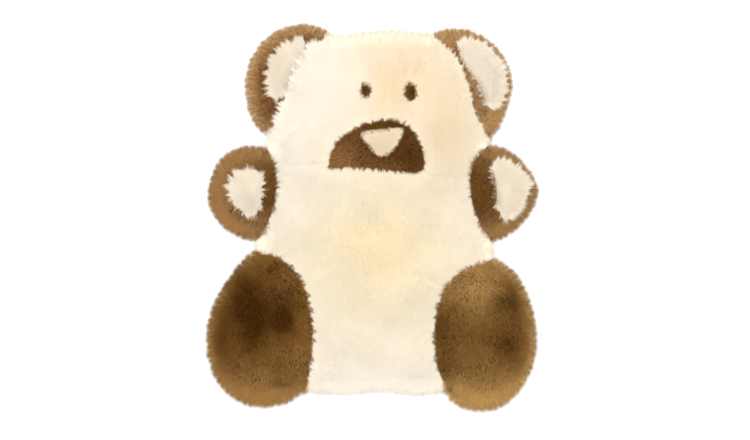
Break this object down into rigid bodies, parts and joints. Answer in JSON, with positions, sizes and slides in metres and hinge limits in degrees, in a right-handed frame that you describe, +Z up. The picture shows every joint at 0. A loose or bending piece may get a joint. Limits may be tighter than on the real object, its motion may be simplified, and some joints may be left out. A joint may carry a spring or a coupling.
{
  "type": "bear shaped sheepskin rug",
  "caption": "Flat child's rug in the outline of a sitting bear, pieced from cream and brown sheepskin with thick upright wool and an uneven wool fringe all round.",
  "frame": {"origin": "middle of the underside's bounding box, on the floor", "axes": "+Z up out of the wool, +Y toward the top of the bear's head, +X to the right as seen from above with the head up"},
  "size_m": [0.7814, 0.9114, 0.0365],
  "materials": {
    "cream_wool": "dense shorn lambswool, warm cream, matt",
    "brown_wool": "dense shorn lambswool, dyed brown with lighter tips, matt"
  },
  "bodies": {
    "root": {"body_panel": "cream_wool", "ear_left": "brown_wool", "ear_right": "brown_wool", "ear_left_inlay": "cream_wool", "ear_right_inlay": "cream_wool", "arm_left": "brown_wool", "arm_right": "brown_wool", "arm_left_inlay": "cream_wool", "arm_right_inlay": "cream_wool", "foot_left": "brown_wool", "foot_right": "brown_wool", "muzzle": "brown_wool", "nose": "cream_wool", "eye_left": "brown_wool", "eye_right": "brown_wool"}
  },
  "joints": []
}
